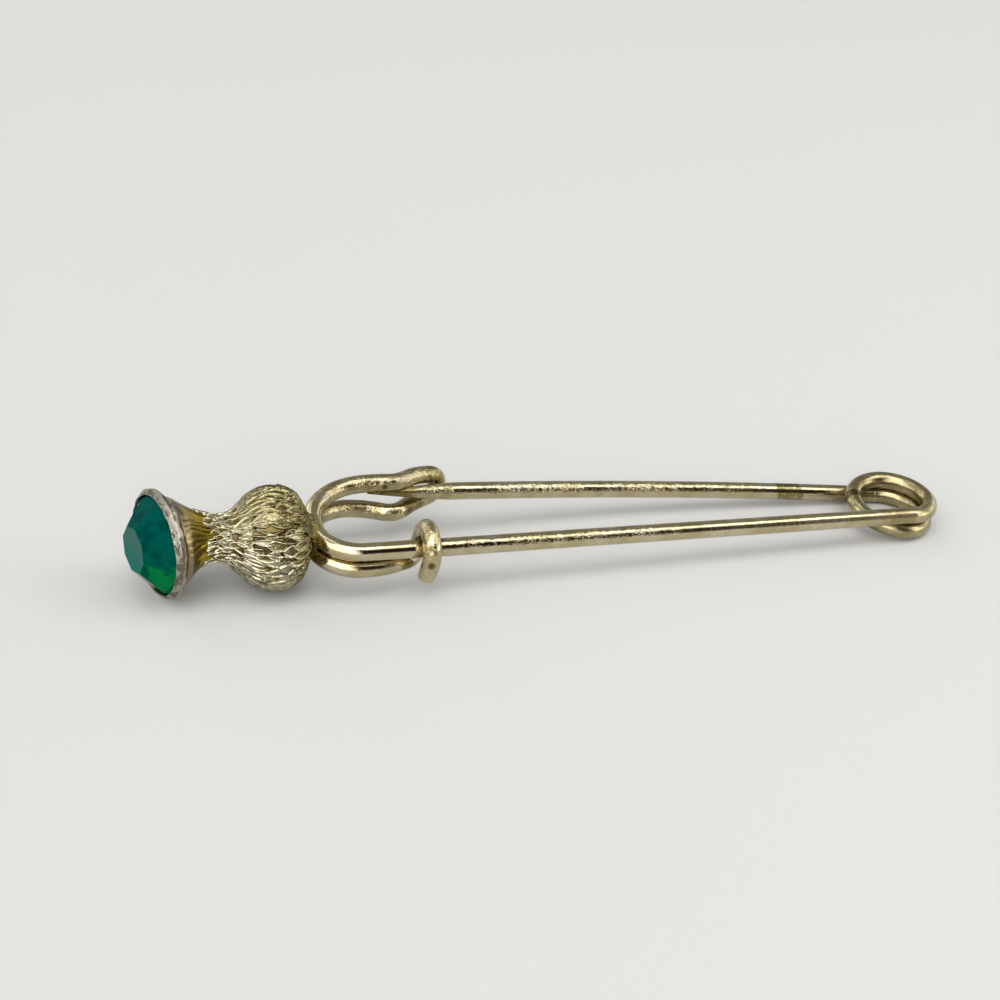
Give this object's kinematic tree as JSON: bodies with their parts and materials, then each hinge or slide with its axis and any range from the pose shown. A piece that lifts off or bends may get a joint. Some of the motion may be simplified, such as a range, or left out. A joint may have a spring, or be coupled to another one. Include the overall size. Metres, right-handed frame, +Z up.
{
  "type": "brooch",
  "caption": "Kilt-pin brooch: sprung pin arm, coil, fixed arm and guard bent from wire, with a cast thistle head holding a faceted green stone.",
  "frame": {"origin": "centre of the bounding box at the level of the table that the brooch lies on", "axes": "+X from the stone to the spring coil, +Y from the fixed arm to the pin arm, +Z up from the table"},
  "size_m": [0.0784, 0.014, 0.0098],
  "materials": {
    "cast_metal": "pale gold plate, worn, darker in the recesses",
    "wire": "polished pale gold plate with fine pits",
    "stone": "clear green, polished, foiled behind"
  },
  "bodies": {
    "frame": {"thistle_and_guard": "cast_metal", "fixed_arm": "wire", "spring_coil": "wire", "stone": "stone"},
    "pin": {"pin_arm": "wire"}
  },
  "joints": [
    {"name": "pin_spring", "type": "hinge", "parent": "frame", "child": "pin", "pos_m": [0.03469, -0.00061, 0.00049], "axis": [0.035, -0.0811, 0.9961], "range_deg": [0, 6], "stiffness_Nm_per_rad": 0.9, "springref_deg": -3.44}
  ]
}
